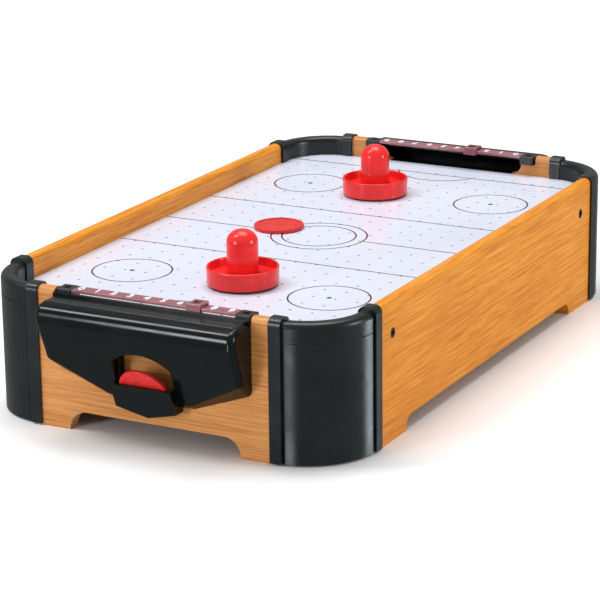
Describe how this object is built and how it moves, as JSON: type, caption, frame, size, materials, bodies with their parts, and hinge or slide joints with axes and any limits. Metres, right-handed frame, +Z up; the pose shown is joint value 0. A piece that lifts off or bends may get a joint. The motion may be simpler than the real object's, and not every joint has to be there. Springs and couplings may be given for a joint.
{
  "type": "tabletop air hockey table",
  "caption": "Tabletop air hockey game: wooden frame on feet, perforated playfield, rounded corner covers, goal boxes with puck scoops, sliding score markers, mallets and pucks.",
  "frame": {"origin": "on the surface that the table stands on, below the centre of the playfield", "axes": "+Y along the table from the front goal to the rear goal, +Z up, +X to the right seen from the front goal"},
  "size_m": [0.3044, 0.5716, 0.1313],
  "materials": {
    "oak_laminate": "satin printed wood grain",
    "black_plastic": "semi-gloss moulded",
    "goal_black": "gloss moulded",
    "field_white": "gloss laminate",
    "hardboard": "matt",
    "pine": "sawn",
    "dark_screw": "blackened",
    "steel": "zinc plated",
    "maroon_plastic": "satin moulded",
    "red_plastic": "gloss moulded",
    "felt": "felted",
    "fan_grey": "moulded",
    "cell_wrap": "gloss wrap",
    "contact_nickel": "nickel plated",
    "lead_black": "satin"
  },
  "bodies": {
    "frame": {"bar_posts_front": "black_plastic", "bar_posts_rear": "black_plastic", "bar_screws_front": "dark_screw", "bar_screws_rear": "dark_screw", "batteries": "cell_wrap", "battery_box": "black_plastic", "battery_contacts": "contact_nickel", "blower_base": "fan_grey", "blower_housing": "fan_grey", "blower_screws": "steel", "box_rail_front": "pine", "box_rail_left": "pine", "box_rail_rear": "pine", "box_rail_right": "pine", "corner_cover_front_left": "black_plastic", "corner_cover_front_right": "black_plastic", "corner_cover_rear_left": "black_plastic", "corner_cover_rear_right": "black_plastic", "corner_screws": "steel", "end_panel_front": "oak_laminate", "end_panel_rear": "oak_laminate", "goal_box_front": "goal_black", "goal_box_rear": "goal_black", "goal_screws_front": "steel", "goal_screws_rear": "steel", "intake_grille": "black_plastic", "lead_clips": "fan_grey", "motor": "steel", "motor_lead": "lead_black", "panel_screws_left": "dark_screw", "panel_screws_right": "dark_screw", "playfield": "field_white", "plenum_floor": "hardboard", "score_bar_front": "maroon_plastic", "score_bar_rear": "maroon_plastic", "side_panel_left": "oak_laminate", "side_panel_right": "oak_laminate", "switch_body": "black_plastic", "switch_lead": "lead_black"},
    "impeller": {"impeller": "fan_grey", "motor_shaft": "steel"},
    "battery_door": {"battery_door": "black_plastic"},
    "switch_rocker": {"switch_rocker": "red_plastic"},
    "score_slider_front": {"score_slider_front": "maroon_plastic"},
    "score_slider_rear": {"score_slider_rear": "maroon_plastic"},
    "mallet_front": {"mallet_front": "red_plastic", "mallet_felt_front": "felt"},
    "mallet_rear": {"mallet_rear": "red_plastic", "mallet_felt_rear": "felt"},
    "puck": {"puck": "red_plastic"},
    "puck_returned": {"puck_returned": "red_plastic"}
  },
  "joints": [
    {"name": "impeller_spin", "type": "hinge", "parent": "frame", "child": "impeller", "pos_m": [0, 0.062, 0.03], "axis": [0, 0, 1], "continuous": true},
    {"name": "battery_door_slide", "type": "slide", "parent": "frame", "child": "battery_door", "axis": [0, -1, 0], "range_m": [0, 0.045]},
    {"name": "switch_rock", "type": "hinge", "parent": "frame", "child": "switch_rocker", "pos_m": [-0.1475, 0.06, 0.038], "axis": [0, 0, -1], "range_deg": [0, 16]},
    {"name": "score_front_slide", "type": "slide", "parent": "frame", "child": "score_slider_front", "axis": [1, 0, 0], "range_m": [-0.0952, 0.0272]},
    {"name": "score_rear_slide", "type": "slide", "parent": "frame", "child": "score_slider_rear", "axis": [1, 0, 0], "range_m": [-0.0816, 0.0408]},
    {"name": "mallet_front_push", "type": "slide", "parent": "frame", "child": "mallet_front", "axis": [0, 1, 0], "range_m": [-0.074, 0.102]},
    {"name": "mallet_rear_push", "type": "slide", "parent": "frame", "child": "mallet_rear", "axis": [0, 1, 0], "range_m": [-0.07, 0.08]},
    {"name": "puck_glide", "type": "slide", "parent": "frame", "child": "puck", "axis": [1, 0, 0], "range_m": [-0.076, 0.155]},
    {"name": "puck_return_lift", "type": "slide", "parent": "frame", "child": "puck_returned", "axis": [0, -0.454, 0.891], "range_m": [0, 0.03]}
  ]
}
